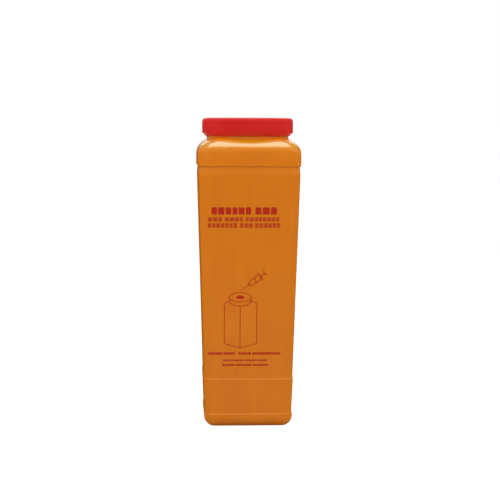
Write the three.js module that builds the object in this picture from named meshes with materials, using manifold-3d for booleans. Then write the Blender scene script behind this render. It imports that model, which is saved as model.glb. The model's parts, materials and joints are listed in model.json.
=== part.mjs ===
// Sharps container: a tall square blow-moulded jar with a round screw cap, a tamper band left on the
// neck, a foam liner under the cap, and a hinged flap over the drop aperture in the cap's deck.
// Millimetres. +Z is up, -Y is the front, and the origin is the centre of the base.

import * as THREE from 'three';
import { mergeVertices } from 'three/addons/utils/BufferGeometryUtils.js';
import Module from 'manifold-3d';

const wasm = await Module();
wasm.setup();

// ---------- Driving dimensions ----------

const ROUND_STEPS = 60; // facets round the neck and the cap
const SMALL_STEPS = 16; // facets round the hinge
const CORNER_STEPS = 6; // facets round one upright corner of the jar
const FILLET_STEPS = 5; // facets up the fillet at the foot
const ROLL_STEPS = 8; // facets up the rolled shoulder
const CAP_ROUND_STEPS = 5; // facets over the cap's rounded edge
const GAP = 0.3; // clearance between pieces that touch
const CUT_OVER = 1; // how far a cutter runs past the face that it cuts
const JOIN_IN = 2; // how far a joined piece is sunk into its neighbour

// Jar: the half widths are across the flats, and the heights are of the edges on its faces.
const WALL = 2.2;
const CORNER = 13;
const BASE_RISE = 3;
const FOOT_RING_INNER = 35;
const FOOT_RING_CORNER = 6;
const BASE_FILLET = 12.5;
const FOOT_CORNER_MIN = 2;
const FOOT_HALF = 54.6;
const FOOT_LEDGE_Z = 16.3;
const LEDGE = 0.45;
const LOWER_BAND_TOP_HALF = 55.65;
const PANEL_LEDGE_Z = 60.7;
const PANEL_TOP_HALF = 62.9;
const SHOULDER_STEP_Z = 322.3;
const SHOULDER_STEP_RISE = 2;
const SHOULDER_HALF = 63.5;
const ROLL_START_Z = 338.5;
const ROLL_IN = 28;
const ROLL_UP = 20;
const ROLL_CORNER_GROWTH = 0.35; // corner radius gained for each millimetre that the roll closes in

// Neck
const NECK_R = 51.3;
const BORE_R = 48.3;
const RIM_Z = 374.3;
const RIM_CHAMFER = 0.5;

// Thread, right-handed and single-start
const PITCH = 6;
const NECK_THREAD = { wall: NECK_R, height: 1.8, side: 1, z: 363.5, firstTurn: 0, turns: 1.35 };
const CAP_THREAD_DROP = 2.35; // the cap's ridge runs this far under the neck's
const THREAD_BASE = 3;
const THREAD_CREST = 1.4;
const THREAD_SUNK = 0.8;
const THREAD_RUN_OUT = 0.06; // turns over which a ridge fades into its wall
const THREAD_END_DEPTH = -0.2; // how far its crest is under the wall at its very end

// Screw cap
const CAP_R = 57;
const CAP_TOP_Z = 382;
const CAP_BOTTOM_Z = 362.3;
const CAP_ROUND = 4.5;
const CAP_BEVEL_IN = 1.9; // the bevel round the foot of the skirt
const CAP_BEVEL_RISE = 1.6;
const CAP_CHAMFER = 0.6;
const CAP_ROOT_R = 53.6;
const CAP_CEILING_Z = 376.4;
const CAP_THREAD = {
  wall: CAP_ROOT_R, height: 1.7, side: -1, z: NECK_THREAD.z - CAP_THREAD_DROP, firstTurn: 0.51, turns: 1,
};
const PLUG_R = 47.4;
const PLUG_WALL = 1.8;
const PLUG_END_Z = 371.2;
const DECK_TOP_Z = 375.5;
const DECK_UNDER_Z = 373.1;
const RECESS_R = 44.8;
const APERTURE_R = 19.6;
const NOTCH_END = 24;
const NOTCH_HALF_WIDE = 3.2;
const NOTCH_HALF_NARROW = 1;
const COLLAR_INNER_R = 26.5;
const COLLAR_OUTER_R = 28.5;
const COLLAR_TOP_Z = 378;

// Tamper band
const BAND_INNER_R = 51.9;
const BAND_TOP_R = 54.9;
const BAND_FOOT_R = 52.4;
const BAND_TOP_Z = 361.9;
const BAND_EDGE_Z = 361.5;
const BAND_FOOT_Z = 359.5;

// Liner
const LINER_INNER_R = 47.8;
const LINER_OUTER_R = 53.2;

// Flap, its hinge along X and its seal
const HINGE_Y = 36;
const HINGE_Z = 378.6;
const KNUCKLE_R = 2.4;
const PIN_R = 1;
const PIN_HEAD_R = 1.8;
const PIN_HEAD = 1;
const FLAP_KNUCKLE_HALF = 4.7;
const LUG_LENGTH = 4;
const FLAP_R = 31;
const FLAP_UNDER_Z = 378.4;
const FLAP_TOP_Z = 380.6;
const FLAP_EDGE = 0.5;
const FLAP_PLUG_R = 19;
const FLAP_PLUG_WALL = 1.4;
const FLAP_PLUG_END_Z = 373.5;
const TAB_END = 38;
const TAB_HALF = 9;
const TAB_ROUND = 5;
const SEAL_INNER_R = 26.8;
const SEAL_OUTER_R = 28.3;
const SEAL_HEIGHT = 1;

// Materials
const hdpe = new THREE.MeshStandardMaterial({ color: 0xd07418, roughness: 0.42, metalness: 0 });
const redPlastic = new THREE.MeshStandardMaterial({ color: 0xc62625, roughness: 0.36, metalness: 0 });
const foam = new THREE.MeshStandardMaterial({ color: 0xe9e7e0, roughness: 0.9, metalness: 0 });
const pinPlastic = new THREE.MeshStandardMaterial({ color: 0xd9d8d2, roughness: 0.5, metalness: 0 });
const sealRubber = new THREE.MeshStandardMaterial({ color: 0x2b2b2c, roughness: 0.8, metalness: 0 });

// ---------- Solids ----------

// A closed three.js geometry as a solid: shared vertices merged, and collapsed triangles left out.
function solid(geometry) {
  geometry.deleteAttribute('normal');
  geometry.deleteAttribute('uv');
  const merged = mergeVertices(geometry);
  const corners = merged.index.array;
  const triangles = [];
  for (let i = 0; i < corners.length; i += 3) {
    const [a, b, c] = corners.slice(i, i + 3);
    if (a !== b && b !== c && c !== a) triangles.push(a, b, c);
  }
  return new wasm.Manifold(new wasm.Mesh({
    numProp: 3,
    vertProperties: new Float32Array(merged.attributes.position.array),
    triVerts: new Uint32Array(triangles),
  }));
}

// A solid as a named mesh of the scene graph.
function part(name, shape, material) {
  const { vertProperties, triVerts } = shape.getMesh();
  const geometry = new THREE.BufferGeometry();
  geometry.setAttribute('position', new THREE.BufferAttribute(vertProperties, 3));
  geometry.setIndex(new THREE.BufferAttribute(triVerts, 1));
  geometry.computeVertexNormals();
  const mesh = new THREE.Mesh(geometry, material);
  mesh.name = name;
  return mesh;
}

// A profile of [radius, height] points turned about the Z axis. An outside wall runs upwards.
function turned(profile, steps = ROUND_STEPS) {
  const points = profile.map(([radius, height]) => new THREE.Vector2(radius, height));
  return new THREE.LatheGeometry(points, steps).rotateX(Math.PI / 2);
}

function turnedRing(profile) {
  return solid(turned([...profile, profile[0]]));
}

// A shape drawn in the YZ plane, extruded along X from one x to another.
function extrudedAlongX(shape, fromX, toX) {
  const geometry = new THREE.ExtrudeGeometry(shape, {
    depth: toX - fromX, bevelEnabled: false, curveSegments: SMALL_STEPS / 2,
  });
  const turn = new THREE.Matrix4().makeBasis(
    new THREE.Vector3(0, 1, 0), new THREE.Vector3(0, 0, 1), new THREE.Vector3(1, 0, 0),
  );
  return solid(geometry.applyMatrix4(turn).translate(fromX, 0, 0));
}

// A shape drawn in plan, extruded upwards from one height to another.
function extrudedUp(shape, fromZ, toZ) {
  const geometry = new THREE.ExtrudeGeometry(shape, {
    depth: toZ - fromZ, bevelEnabled: false, curveSegments: SMALL_STEPS / 2,
  });
  return solid(geometry.translate(0, 0, fromZ));
}

// The points of an elliptic quarter arc, as [across, up] from its centre, from straight down or out.
function quarterArc(across, up, steps) {
  return Array.from({ length: steps + 1 }, (_, i) => {
    const angle = (i / steps) * Math.PI / 2;
    return [across * Math.cos(angle), up * Math.sin(angle)];
  });
}

// ---------- Jar ----------

// The jar's skin from the middle of the base to the middle of the shoulder, as rings with a height,
// a half width and a corner radius. The inside skin is the same with the wall taken off.
function jarRings(wall) {
  const ring = (z, half, corner) => ({ z, half, corner });
  const footFlat = FOOT_HALF - BASE_FILLET;
  const filletR = BASE_FILLET - wall;
  const fillet = quarterArc(filletR, filletR, FILLET_STEPS).reverse().map(([out, down]) => (
    ring(BASE_FILLET - down, footFlat + out, Math.max(CORNER - BASE_FILLET + out, FOOT_CORNER_MIN))
  ));
  const rollCentre = SHOULDER_HALF - ROLL_IN;
  const roll = quarterArc(ROLL_IN - wall, ROLL_UP - wall, ROLL_STEPS).map(([out, up]) => {
    const closedIn = ROLL_IN - wall - out;
    return ring(ROLL_START_Z + up, rollCentre + out, CORNER - wall + ROLL_CORNER_GROWTH * closedIn);
  });
  const side = (z, half) => ring(z, half - wall, CORNER - wall);
  return [
    ring(BASE_RISE + wall, 0, 0),
    ring(BASE_RISE + wall, FOOT_RING_INNER - BASE_RISE, FOOT_RING_CORNER),
    ring(wall, FOOT_RING_INNER, FOOT_RING_CORNER),
    ...fillet,
    side(FOOT_LEDGE_Z - LEDGE, FOOT_HALF),
    side(FOOT_LEDGE_Z + LEDGE, FOOT_HALF - LEDGE),
    side(PANEL_LEDGE_Z - LEDGE, LOWER_BAND_TOP_HALF),
    side(PANEL_LEDGE_Z + LEDGE, LOWER_BAND_TOP_HALF - LEDGE),
    side(SHOULDER_STEP_Z - SHOULDER_STEP_RISE / 2, PANEL_TOP_HALF),
    side(SHOULDER_STEP_Z + SHOULDER_STEP_RISE / 2, SHOULDER_HALF),
    ...roll,
    ring(ROLL_START_Z + ROLL_UP - wall, 0, 0),
  ];
}

// A point of a rounded square's outline: `step` counts along the four corner arcs.
function outlinePoint({ half, corner }, step) {
  const perCorner = CORNER_STEPS + 1;
  const quarter = Math.floor(step / perCorner) % 4;
  const angle = (quarter + (step % perCorner) / CORNER_STEPS) * Math.PI / 2;
  const centre = Math.max(half - corner, 0);
  const middle = (quarter + 0.5) * Math.PI / 2;
  const radius = Math.min(corner, half);
  return [
    centre * Math.sign(Math.cos(middle)) + radius * Math.cos(angle),
    centre * Math.sign(Math.sin(middle)) + radius * Math.sin(angle),
  ];
}

// A turned body whose rings are drawn out into rounded squares.
function squaredBody(rings) {
  const outlineSteps = 4 * (CORNER_STEPS + 1);
  const geometry = turned(rings.map(({ half, z }) => [half, z]), outlineSteps);
  const position = geometry.attributes.position;
  for (let i = 0; i < position.count; i += 1) {
    const ring = rings[i % rings.length];
    const step = Math.floor(i / rings.length) % outlineSteps;
    const [x, y] = outlinePoint(ring, step);
    position.setXYZ(i, x, y, ring.z);
  }
  return solid(geometry);
}

// A screw thread's ridge on a round wall: a straight bar bent round the wall and up the helix.
// It stands out from the wall with side 1 and in from it with side -1, and it fades out at both ends.
function threadRidge({ wall, height, side, z, firstTurn, turns }) {
  const bar = new THREE.BoxGeometry(1, 1, 1, Math.round(turns * ROUND_STEPS), 1, 1);
  const slope = (THREAD_BASE - THREAD_CREST) / height;
  const position = bar.attributes.position;
  for (let i = 0; i < position.count; i += 1) {
    const along = 0.5 - side * position.getX(i);
    const turn = firstTurn + turns * along;
    const fade = Math.min(1, (turns * along) / THREAD_RUN_OUT, (turns * (1 - along)) / THREAD_RUN_OUT);
    const crest = THREE.MathUtils.lerp(THREAD_END_DEPTH, height, fade);
    const depth = position.getY(i) > 0 ? crest : -THREAD_SUNK;
    const width = THREAD_BASE - slope * depth;
    const radius = wall + side * depth;
    const angle = 2 * Math.PI * turn;
    position.setXYZ(
      i, radius * Math.cos(angle), radius * Math.sin(angle), z + PITCH * turn + width * position.getZ(i),
    );
  }
  return solid(bar);
}

function jarBody() {
  const neckFootZ = ROLL_START_Z;
  const neck = solid(turned([
    [0, neckFootZ],
    [NECK_R, neckFootZ],
    [NECK_R, RIM_Z - RIM_CHAMFER],
    [NECK_R - RIM_CHAMFER, RIM_Z],
    [0, RIM_Z],
  ]));
  const bore = solid(turned([
    [0, neckFootZ],
    [BORE_R, neckFootZ],
    [BORE_R, RIM_Z - RIM_CHAMFER],
    [BORE_R + 2 * RIM_CHAMFER, RIM_Z + RIM_CHAMFER],
    [0, RIM_Z + RIM_CHAMFER],
  ]));
  return squaredBody(jarRings(0))
    .add(neck)
    .add(threadRidge(NECK_THREAD))
    .subtract(squaredBody(jarRings(WALL)))
    .subtract(bore);
}

// ---------- Rings round the neck ----------

function tamperBand() {
  return turnedRing([
    [BAND_INNER_R, BAND_FOOT_Z],
    [BAND_FOOT_R, BAND_FOOT_Z],
    [BAND_TOP_R, BAND_EDGE_Z],
    [BAND_TOP_R, BAND_TOP_Z],
    [BAND_INNER_R, BAND_TOP_Z],
  ]);
}

function capLiner() {
  return turnedRing([
    [LINER_INNER_R, RIM_Z + GAP],
    [LINER_OUTER_R, RIM_Z + GAP],
    [LINER_OUTER_R, CAP_CEILING_Z - GAP],
    [LINER_INNER_R, CAP_CEILING_Z - GAP],
  ]);
}

// ---------- Screw cap ----------

function capShell() {
  const rounding = quarterArc(CAP_ROUND, CAP_ROUND, CAP_ROUND_STEPS).map(([out, up]) => (
    [CAP_R - CAP_ROUND + out, CAP_TOP_Z - CAP_ROUND + up]
  ));
  return turnedRing([
    [APERTURE_R, DECK_UNDER_Z],
    [PLUG_R - PLUG_WALL, DECK_UNDER_Z],
    [PLUG_R - PLUG_WALL, PLUG_END_Z],
    [PLUG_R - CAP_CHAMFER, PLUG_END_Z],
    [PLUG_R, PLUG_END_Z + CAP_CHAMFER],
    [PLUG_R, CAP_CEILING_Z],
    [CAP_ROOT_R, CAP_CEILING_Z],
    [CAP_ROOT_R, CAP_BOTTOM_Z],
    [CAP_R - CAP_BEVEL_IN, CAP_BOTTOM_Z],
    [CAP_R, CAP_BOTTOM_Z + CAP_BEVEL_RISE],
    ...rounding,
    [RECESS_R + CAP_CHAMFER, CAP_TOP_Z],
    [RECESS_R, CAP_TOP_Z - CAP_CHAMFER],
    [RECESS_R, DECK_TOP_Z],
    [COLLAR_OUTER_R, DECK_TOP_Z],
    [COLLAR_OUTER_R, COLLAR_TOP_Z],
    [COLLAR_INNER_R, COLLAR_TOP_Z],
    [COLLAR_INNER_R, DECK_TOP_Z],
    [APERTURE_R, DECK_TOP_Z],
  ]);
}

// A tapering notch at one side of the aperture, where a needle hub is caught and drawn off.
function needleNotch(side) {
  const start = APERTURE_R - JOIN_IN;
  const endCentre = NOTCH_END - NOTCH_HALF_NARROW;
  const shape = new THREE.Shape();
  shape.moveTo(start, -NOTCH_HALF_WIDE);
  shape.lineTo(endCentre, -NOTCH_HALF_NARROW);
  shape.absarc(endCentre, 0, NOTCH_HALF_NARROW, -Math.PI / 2, Math.PI / 2);
  shape.lineTo(start, NOTCH_HALF_WIDE);
  shape.closePath();
  const notch = extrudedUp(shape, DECK_UNDER_Z - CUT_OVER, DECK_TOP_Z + CUT_OVER);
  return side > 0 ? notch : notch.rotate([0, 0, 180]);
}

// A round barrel on the hinge's axis with a foot reaching down to footZ.
function knuckle(fromX, toX, footZ) {
  const shape = new THREE.Shape();
  shape.moveTo(HINGE_Y + KNUCKLE_R, footZ);
  shape.lineTo(HINGE_Y + KNUCKLE_R, HINGE_Z);
  shape.absarc(HINGE_Y, HINGE_Z, KNUCKLE_R, 0, Math.PI);
  shape.lineTo(HINGE_Y - KNUCKLE_R, footZ);
  shape.closePath();
  return extrudedAlongX(shape, fromX, toX);
}

// A round bar on the hinge's axis.
function hingeBar(radius, fromX, toX) {
  const shape = new THREE.Shape();
  shape.absarc(HINGE_Y, HINGE_Z, radius, 0, 2 * Math.PI);
  return extrudedAlongX(shape, fromX, toX);
}

const LUG_START = FLAP_KNUCKLE_HALF + GAP;
const LUG_END = LUG_START + LUG_LENGTH;

function screwCap() {
  const sunkZ = (DECK_TOP_Z + DECK_UNDER_Z) / 2;
  return capShell()
    .add(threadRidge(CAP_THREAD))
    .subtract(needleNotch(1))
    .subtract(needleNotch(-1))
    .add(knuckle(LUG_START, LUG_END, sunkZ))
    .add(knuckle(-LUG_END, -LUG_START, sunkZ))
    .subtract(hingeBar(PIN_R + GAP, -LUG_END - CUT_OVER, LUG_END + CUT_OVER));
}

// ---------- Flap, hinge pin and seal ----------

function flapPlate() {
  const plugInner = FLAP_PLUG_R - FLAP_PLUG_WALL;
  const grooveTop = COLLAR_TOP_Z + GAP + SEAL_HEIGHT + GAP;
  return solid(turned([
    [0, FLAP_UNDER_Z],
    [plugInner, FLAP_UNDER_Z],
    [plugInner, FLAP_PLUG_END_Z],
    [FLAP_PLUG_R - FLAP_EDGE, FLAP_PLUG_END_Z],
    [FLAP_PLUG_R, FLAP_PLUG_END_Z + FLAP_EDGE],
    [FLAP_PLUG_R, FLAP_UNDER_Z],
    [SEAL_INNER_R - GAP, FLAP_UNDER_Z],
    [SEAL_INNER_R - GAP, grooveTop],
    [SEAL_OUTER_R + GAP, grooveTop],
    [SEAL_OUTER_R + GAP, FLAP_UNDER_Z],
    [FLAP_R - FLAP_EDGE, FLAP_UNDER_Z],
    [FLAP_R, FLAP_UNDER_Z + FLAP_EDGE],
    [FLAP_R, FLAP_TOP_Z - FLAP_EDGE],
    [FLAP_R - FLAP_EDGE, FLAP_TOP_Z],
    [0, FLAP_TOP_Z],
  ]));
}

function fingerTab() {
  const rootY = -FLAP_R + JOIN_IN;
  const shape = new THREE.Shape();
  shape.moveTo(-TAB_HALF, rootY);
  shape.lineTo(-TAB_HALF, -TAB_END + TAB_ROUND);
  shape.absarc(-TAB_HALF + TAB_ROUND, -TAB_END + TAB_ROUND, TAB_ROUND, Math.PI, 1.5 * Math.PI);
  shape.absarc(TAB_HALF - TAB_ROUND, -TAB_END + TAB_ROUND, TAB_ROUND, 1.5 * Math.PI, 2 * Math.PI);
  shape.lineTo(TAB_HALF, rootY);
  shape.closePath();
  return extrudedUp(shape, FLAP_UNDER_Z, FLAP_TOP_Z);
}

function hingeArm() {
  const shape = new THREE.Shape();
  shape.moveTo(-FLAP_KNUCKLE_HALF, FLAP_R - JOIN_IN);
  shape.lineTo(FLAP_KNUCKLE_HALF, FLAP_R - JOIN_IN);
  shape.lineTo(FLAP_KNUCKLE_HALF, HINGE_Y);
  shape.lineTo(-FLAP_KNUCKLE_HALF, HINGE_Y);
  shape.closePath();
  return extrudedUp(shape, FLAP_UNDER_Z, FLAP_TOP_Z);
}

function apertureFlap() {
  return flapPlate()
    .add(fingerTab())
    .add(hingeArm())
    .add(hingeBar(KNUCKLE_R, -FLAP_KNUCKLE_HALF, FLAP_KNUCKLE_HALF))
    .subtract(hingeBar(PIN_R + GAP, -FLAP_KNUCKLE_HALF - CUT_OVER, FLAP_KNUCKLE_HALF + CUT_OVER));
}

function flapHingePin() {
  const headStart = LUG_END + GAP;
  return hingeBar(PIN_R, -LUG_END - GAP, headStart + PIN_HEAD / 2)
    .add(hingeBar(PIN_HEAD_R, headStart, headStart + PIN_HEAD));
}

function flapSeal() {
  const under = COLLAR_TOP_Z + GAP;
  return turnedRing([
    [SEAL_INNER_R, under],
    [SEAL_OUTER_R, under],
    [SEAL_OUTER_R, under + SEAL_HEIGHT],
    [SEAL_INNER_R, under + SEAL_HEIGHT],
  ]);
}

// ---------- Assembly ----------

const container = new THREE.Group();
container.name = 'sharps_container';
container.add(
  part('jar_body', jarBody(), hdpe),
  part('tamper_band', tamperBand(), redPlastic),
  part('cap_liner', capLiner(), foam),
  part('screw_cap', screwCap(), redPlastic),
  part('flap_hinge_pin', flapHingePin(), pinPlastic),
  part('aperture_flap', apertureFlap(), redPlastic),
  part('flap_seal', flapSeal(), sealRubber),
);

export default container;
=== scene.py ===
"""The looks of the sharps container: fine meshes, moulded plastics, screen print and a plain studio.

Sizes are in millimetres, in the CAD model's frame. Meshes are turned into metres as they are made.
"""
import json
import math

import bmesh
import bpy
import numpy as np
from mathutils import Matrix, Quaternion, Vector


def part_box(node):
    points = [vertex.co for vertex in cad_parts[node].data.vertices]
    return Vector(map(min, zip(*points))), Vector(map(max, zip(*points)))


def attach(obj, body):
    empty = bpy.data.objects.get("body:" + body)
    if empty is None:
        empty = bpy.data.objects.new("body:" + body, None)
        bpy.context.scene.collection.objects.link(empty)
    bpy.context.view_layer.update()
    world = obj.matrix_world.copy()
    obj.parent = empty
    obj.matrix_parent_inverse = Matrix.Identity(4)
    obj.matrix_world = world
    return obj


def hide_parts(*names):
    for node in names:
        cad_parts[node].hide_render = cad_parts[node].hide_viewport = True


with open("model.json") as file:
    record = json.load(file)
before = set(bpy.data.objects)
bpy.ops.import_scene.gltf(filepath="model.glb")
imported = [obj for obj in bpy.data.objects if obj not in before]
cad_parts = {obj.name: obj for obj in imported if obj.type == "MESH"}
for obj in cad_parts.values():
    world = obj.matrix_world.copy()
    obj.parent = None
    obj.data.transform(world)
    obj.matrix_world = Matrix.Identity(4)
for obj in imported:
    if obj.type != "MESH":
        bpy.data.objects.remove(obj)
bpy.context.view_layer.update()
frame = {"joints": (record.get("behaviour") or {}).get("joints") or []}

MM = 0.001
TAU = 2 * math.pi


def box_mm(node):
    """The lowest and highest corner of a CAD node, in millimetres."""
    low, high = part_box(node)
    return low / MM, high / MM


JAR_HIGH = box_mm("jar_body")[1]
CAP_HIGH = box_mm("screw_cap")[1]
BAND_LOW, BAND_HIGH = box_mm("tamper_band")
LINER_LOW, LINER_HIGH = box_mm("cap_liner")
PIN_LOW, PIN_HIGH = box_mm("flap_hinge_pin")
FLAP_LOW = box_mm("aperture_flap")[0]
SEAL_LOW, SEAL_HIGH = box_mm("flap_seal")
HINGE = next(joint for joint in frame["joints"] if joint["name"] == "flap_open")
HINGE_Y, HINGE_Z = (value / MM for value in HINGE["pos_m"][1:])

# Jar
WALL = 2.2
CORNER = 13
BASE_RISE = 3
FOOT_RING_INNER = 35
FOOT_RING_CORNER = 6
FOOT_FLAT_CORNER = 4
BASE_FILLET = 12.5
FOOT_CORNER_MIN = 2
FOOT_HALF = 54.6
FOOT_LEDGE_Z = 16.8
LEDGE = 0.7
LEDGE_RISE = 1.2
LOWER_BAND_TOP_HALF = 55.7
PANEL_LEDGE_Z = 60.7
PANEL_TOP_HALF = 62.9
SHOULDER_STEP_Z = 322.7
SHOULDER_STEP_RISE = 2
SHOULDER_HALF = JAR_HIGH.x
SHOULDER_CROWN = 0.12
SHOULDER_CROWN_Z = 331
STEP_DIP = 1
STEP_DIP_RUN = 11
ROLL_START_Z = 338.5
ROLL_IN = 28
ROLL_UP = 20
ROLL_CORNER_GROWTH = 0.35
NECK_R = 51.3
NECK_FILLET = 0.8
BORE_R = 48.3
RIM_Z = JAR_HIGH.z
RIM_ROUND = 0.8
PARTING_LINE = 0.16
PARTING_LINE_ANGLE = 0.45

# Thread
PITCH = 6
NECK_THREAD_Z = 363.5
NECK_THREAD_TURNS = 1.35
NECK_THREAD_HEIGHT = 1.8
CAP_THREAD_DROP = 2.35
CAP_THREAD_START = 0.51
CAP_THREAD_TURNS = 1
CAP_THREAD_HEIGHT = 1.7
THREAD_BASE = 3
THREAD_CREST = 1.4
THREAD_RUN_OUT = 0.06
THREAD_RING_GAP = 0.28

# Rings round the neck and in the flap
BAND_INNER_R = 51.9
BAND_FOOT_R = 52.4
BAND_EDGE_Z = 361.5
LINER_INNER_R = 47.8
SEAL_INNER_R = 26.8
SEAL_WIDTH = 1.5

# Cap
CAP_R = CAP_HIGH.x
CAP_TOP_Z = CAP_HIGH.z
CAP_BOTTOM_Z = 362.3
CAP_ROUND = 4.5
CAP_BEVEL_IN = 1.9
CAP_BEVEL_RISE = 1.6
CAP_ROOT_R = 53.6
CAP_CEILING_Z = 376.4
PLUG_R = 47.4
PLUG_WALL = 1.8
PLUG_END_Z = 371.2
DECK_TOP_Z = 375.5
DECK_UNDER_Z = 373.1
RECESS_R = 44.8
APERTURE_R = 19.6
NOTCH_END = 24
NOTCH_HALF_WIDE = 3.2
NOTCH_HALF_NARROW = 1
COLLAR_INNER_R = 26.5
COLLAR_OUTER_R = 28.5
COLLAR_TOP_Z = 378

# Flap
PIN_GAP = 0.3
PIN_R = 1
KNUCKLE_R = 2.4
FLAP_KNUCKLE_HALF = 4.7
LUG_START = FLAP_KNUCKLE_HALF + PIN_GAP
LUG_END = LUG_START + 4
FLAP_R = 31
FLAP_UNDER_Z = 378.4
FLAP_TOP_Z = 380.6
FLAP_PLUG_R = 19
FLAP_PLUG_WALL = 1.4
TAB_HALF = 9
TAB_ROUND = 5


# ---------- Mesh helpers ----------


def mesh_object(name, points, faces):
    """A mesh object from points in millimetres, shaded smooth with its sharp edges kept."""
    mesh = bpy.data.meshes.new(name)
    mesh.from_pydata((np.asarray(points, float) * MM).tolist(), [], faces)
    mesh.update()
    piece = bpy.data.objects.new(name, mesh)
    bpy.context.scene.collection.objects.link(piece)
    smooth(piece)
    return piece


def smooth(piece, angle=math.radians(38)):
    """Shades a piece smooth, except over edges that turn more than the angle."""
    piece.data.shade_smooth()
    piece.data.set_sharp_from_angle(angle=angle)


def polar_loft(name, rings, angles, closed=False):
    """A closed surface of rings round the Z axis, outside wall upwards.

    A ring is (radius, height), each a number or one value per angle. The ends are single points on
    the axis, or with `closed` the last ring joins the first.
    """
    count = len(angles)
    points, starts = [], []
    for radius, height in rings:
        starts.append(len(points))
        if np.ndim(radius) == 0 and radius == 0:
            points.append((0.0, 0.0, float(height)))
            continue
        radii = np.broadcast_to(radius, count)
        heights = np.broadcast_to(height, count)
        points.extend(zip(radii * np.cos(angles), radii * np.sin(angles), heights))
    starts.append(len(points))
    sizes = np.diff(starts)
    pairs = list(zip(range(len(rings) - 1), range(1, len(rings))))
    if closed:
        pairs.append((len(rings) - 1, 0))
    faces = []
    for low, high in pairs:
        a, b = starts[low], starts[high]
        for j in range(count):
            k = (j + 1) % count
            if sizes[low] == 1:
                faces.append((a, b + k, b + j))
            elif sizes[high] == 1:
                faces.append((a + j, a + k, b))
            else:
                faces.append((a + j, a + k, b + k, b + j))
    return mesh_object(name, points, faces)


def even_angles(count):
    """Angles all the way round a circle, from zero."""
    return np.arange(count) * TAU / count


def rounded_profile(corners, steps=4):
    """A closed profile of (radius, height, rounding) corners, with an arc at each rounded one."""
    points = []
    for i, (radius, height, rounding) in enumerate(corners):
        here = np.array((radius, height), float)
        if not rounding:
            points.append(tuple(here))
            continue
        before = np.array(corners[i - 1][:2], float) - here
        after = np.array(corners[(i + 1) % len(corners)][:2], float) - here
        before /= np.linalg.norm(before)
        after /= np.linalg.norm(after)
        half_angle = math.acos(np.clip(before @ after, -1, 1)) / 2
        reach = rounding / math.tan(half_angle)
        inwards = (before + after) / np.linalg.norm(before + after)
        centre = here + inwards * rounding / math.sin(half_angle)
        start = here + before * reach - centre
        turn = math.pi - 2 * half_angle
        side = np.sign(start[0] * after[1] - start[1] * after[0]) or 1.0
        for step in range(steps + 1):
            angle = side * turn * step / steps
            cos, sin = math.cos(angle), math.sin(angle)
            arm = np.array((start[0] * cos - start[1] * sin, start[0] * sin + start[1] * cos))
            points.append(tuple(centre + arm))
    return points


def about_hinge(radius, angle):
    """The (y, z) of a point at a radius and an angle about the hinge's axis."""
    return HINGE_Y + radius * math.cos(angle), HINGE_Z + radius * math.sin(angle)


def turned_about_x(name, profile, segments=48):
    """A profile of (radius, x) points turned about the hinge's axis, on which both its ends lie."""
    angles = even_angles(segments)
    points = [(profile[0][1], HINGE_Y, HINGE_Z)]
    for radius, x in profile[1:-1]:
        points.extend((x, *about_hinge(radius, angle)) for angle in angles)
    points.append((profile[-1][1], HINGE_Y, HINGE_Z))
    last = len(points) - 1
    faces = []
    for j in range(segments):
        k = (j + 1) % segments
        faces.append((0, 1 + k, 1 + j))
        faces.append((last, last - segments + j, last - segments + k))
        for row in range(len(profile) - 3):
            below = 1 + row * segments
            above = below + segments
            faces.append((below + j, below + k, above + k, above + j))
    return mesh_object(name, points, faces)


def prism(name, outline, low, high, place, bevel=0.0):
    """An outline extruded from low to high and put in place by `place(u, v, w)`, ends bevelled."""
    bottom = [place(u, v, low) for u, v in outline]
    top = [place(u, v, high) for u, v in outline]
    count = len(outline)
    faces = [tuple(range(count))[::-1], tuple(range(count, 2 * count))]
    faces += [(j, (j + 1) % count, count + (j + 1) % count, count + j) for j in range(count)]
    piece = mesh_object(name, bottom + top, faces)
    grid = bmesh.new()
    grid.from_mesh(piece.data)
    bmesh.ops.recalc_face_normals(grid, faces=grid.faces)
    if bevel:
        caps = [face for face in grid.faces if len(face.verts) == count]
        edges = {edge for face in caps for edge in face.edges}
        bmesh.ops.bevel(
            grid, geom=list(edges), offset=bevel * MM, segments=3, profile=0.5, affect="EDGES",
            clamp_overlap=True,
        )
    grid.to_mesh(piece.data)
    grid.free()
    smooth(piece)
    return piece


def combine(piece, tools, operation):
    """Joins the tools to a piece, or cuts them out of it, and removes them."""
    for tool in tools:
        modifier = piece.modifiers.new("cut", "BOOLEAN")
        modifier.operation = operation
        modifier.solver = "EXACT"
        modifier.object = tool
    bpy.context.view_layer.update()
    evaluated = piece.evaluated_get(bpy.context.evaluated_depsgraph_get())
    mesh = bpy.data.meshes.new_from_object(evaluated)
    piece.modifiers.clear()
    piece.data = mesh
    for tool in tools:
        bpy.data.objects.remove(tool)
    smooth(piece)
    return piece


# ---------- Jar ----------


def smooth_step(value):
    """An eased step from 0 to 1 as the value goes from 0 to 1."""
    value = np.clip(value, 0, 1)
    return value * value * (3 - 2 * value)


def squared_radius(angles, half, corner):
    """The distance from the axis to a rounded square's outline at each angle."""
    off = np.abs((angles + math.pi / 4) % (math.pi / 2) - math.pi / 4)
    centre = half - corner
    along = centre * (np.cos(off) + np.sin(off))
    rounded = along + np.sqrt(np.maximum(along**2 - 2 * centre**2 + corner**2, 0))
    return np.where(np.tan(off) * half <= centre, half / np.cos(off), rounded)


def jar_angles():
    """Columns close together round the corners and beside the parting lines at the two sides."""
    corner_from = 36
    flat = np.linspace(0, corner_from, 19)
    round_part = np.linspace(corner_from, 45, 17)[1:]
    eighth = np.concatenate([flat, round_part])
    quarter = np.concatenate([eighth, 90 - eighth[-2::-1]])[:-1]
    degrees = np.concatenate([quarter + 90 * k for k in range(4)])
    offsets = (0.25, PARTING_LINE_ANGLE, 2 * PARTING_LINE_ANGLE)
    beside = [side + way * off for side in (0, 180) for way in (-1, 1) for off in offsets]
    return np.radians(np.sort(np.concatenate([degrees, np.array(beside) % 360])))


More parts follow.
